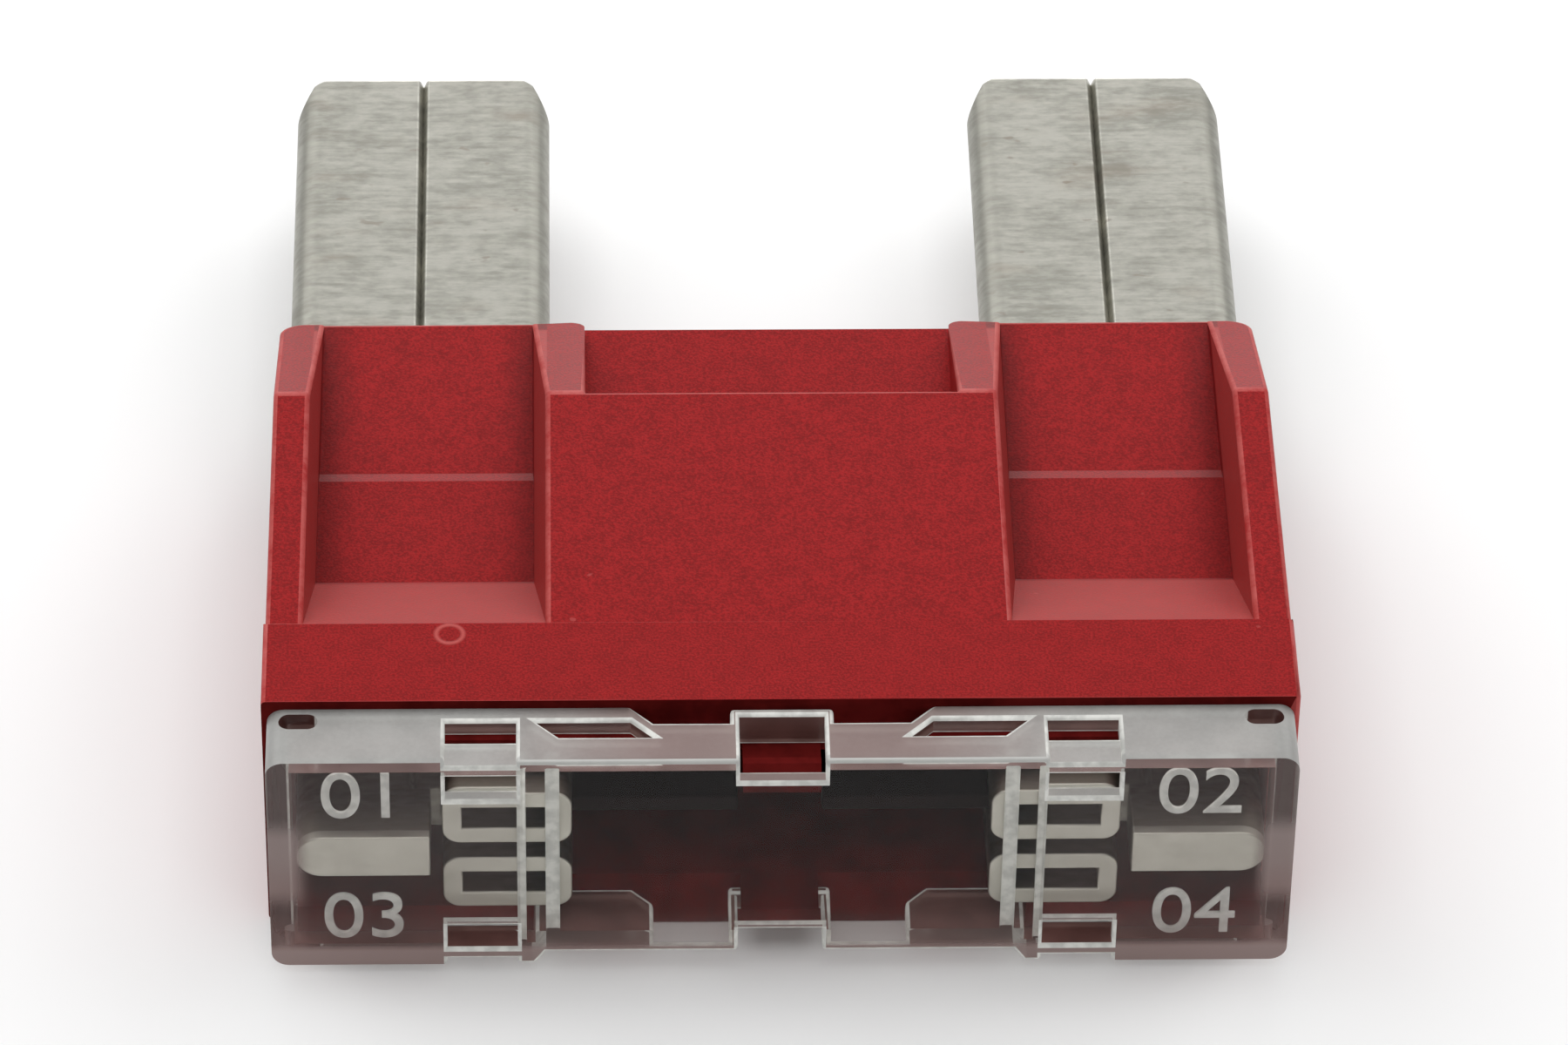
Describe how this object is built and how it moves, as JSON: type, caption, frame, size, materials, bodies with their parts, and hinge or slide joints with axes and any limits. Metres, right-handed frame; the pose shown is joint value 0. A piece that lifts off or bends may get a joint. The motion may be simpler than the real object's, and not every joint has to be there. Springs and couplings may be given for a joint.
{
  "type": "blade fuse",
  "caption": "Plug-in automotive blade fuse, large size: red pocketed housing, clear clip-on end cover, folded tin-plated blades and a fusible link in the chamber between them.",
  "frame": {"origin": "middle of the footprint, on the plane of the back face", "axes": "+Y along the blades towards their tips, +X across both blades, +Z out of the front face"},
  "size_m": [0.0292, 0.0342, 0.0085],
  "materials": {
    "red_plastic": "fine-grained moulded surface",
    "clear_plastic": "clear, with satin side faces",
    "tin_plate": "tin-plated copper alloy, matt, streaked across",
    "link_metal": "tin-plated, matt"
  },
  "bodies": {
    "root": {"housing": "red_plastic", "cover": "clear_plastic", "left_terminal": "tin_plate", "right_terminal": "tin_plate", "fuse_link": "link_metal"}
  },
  "joints": []
}
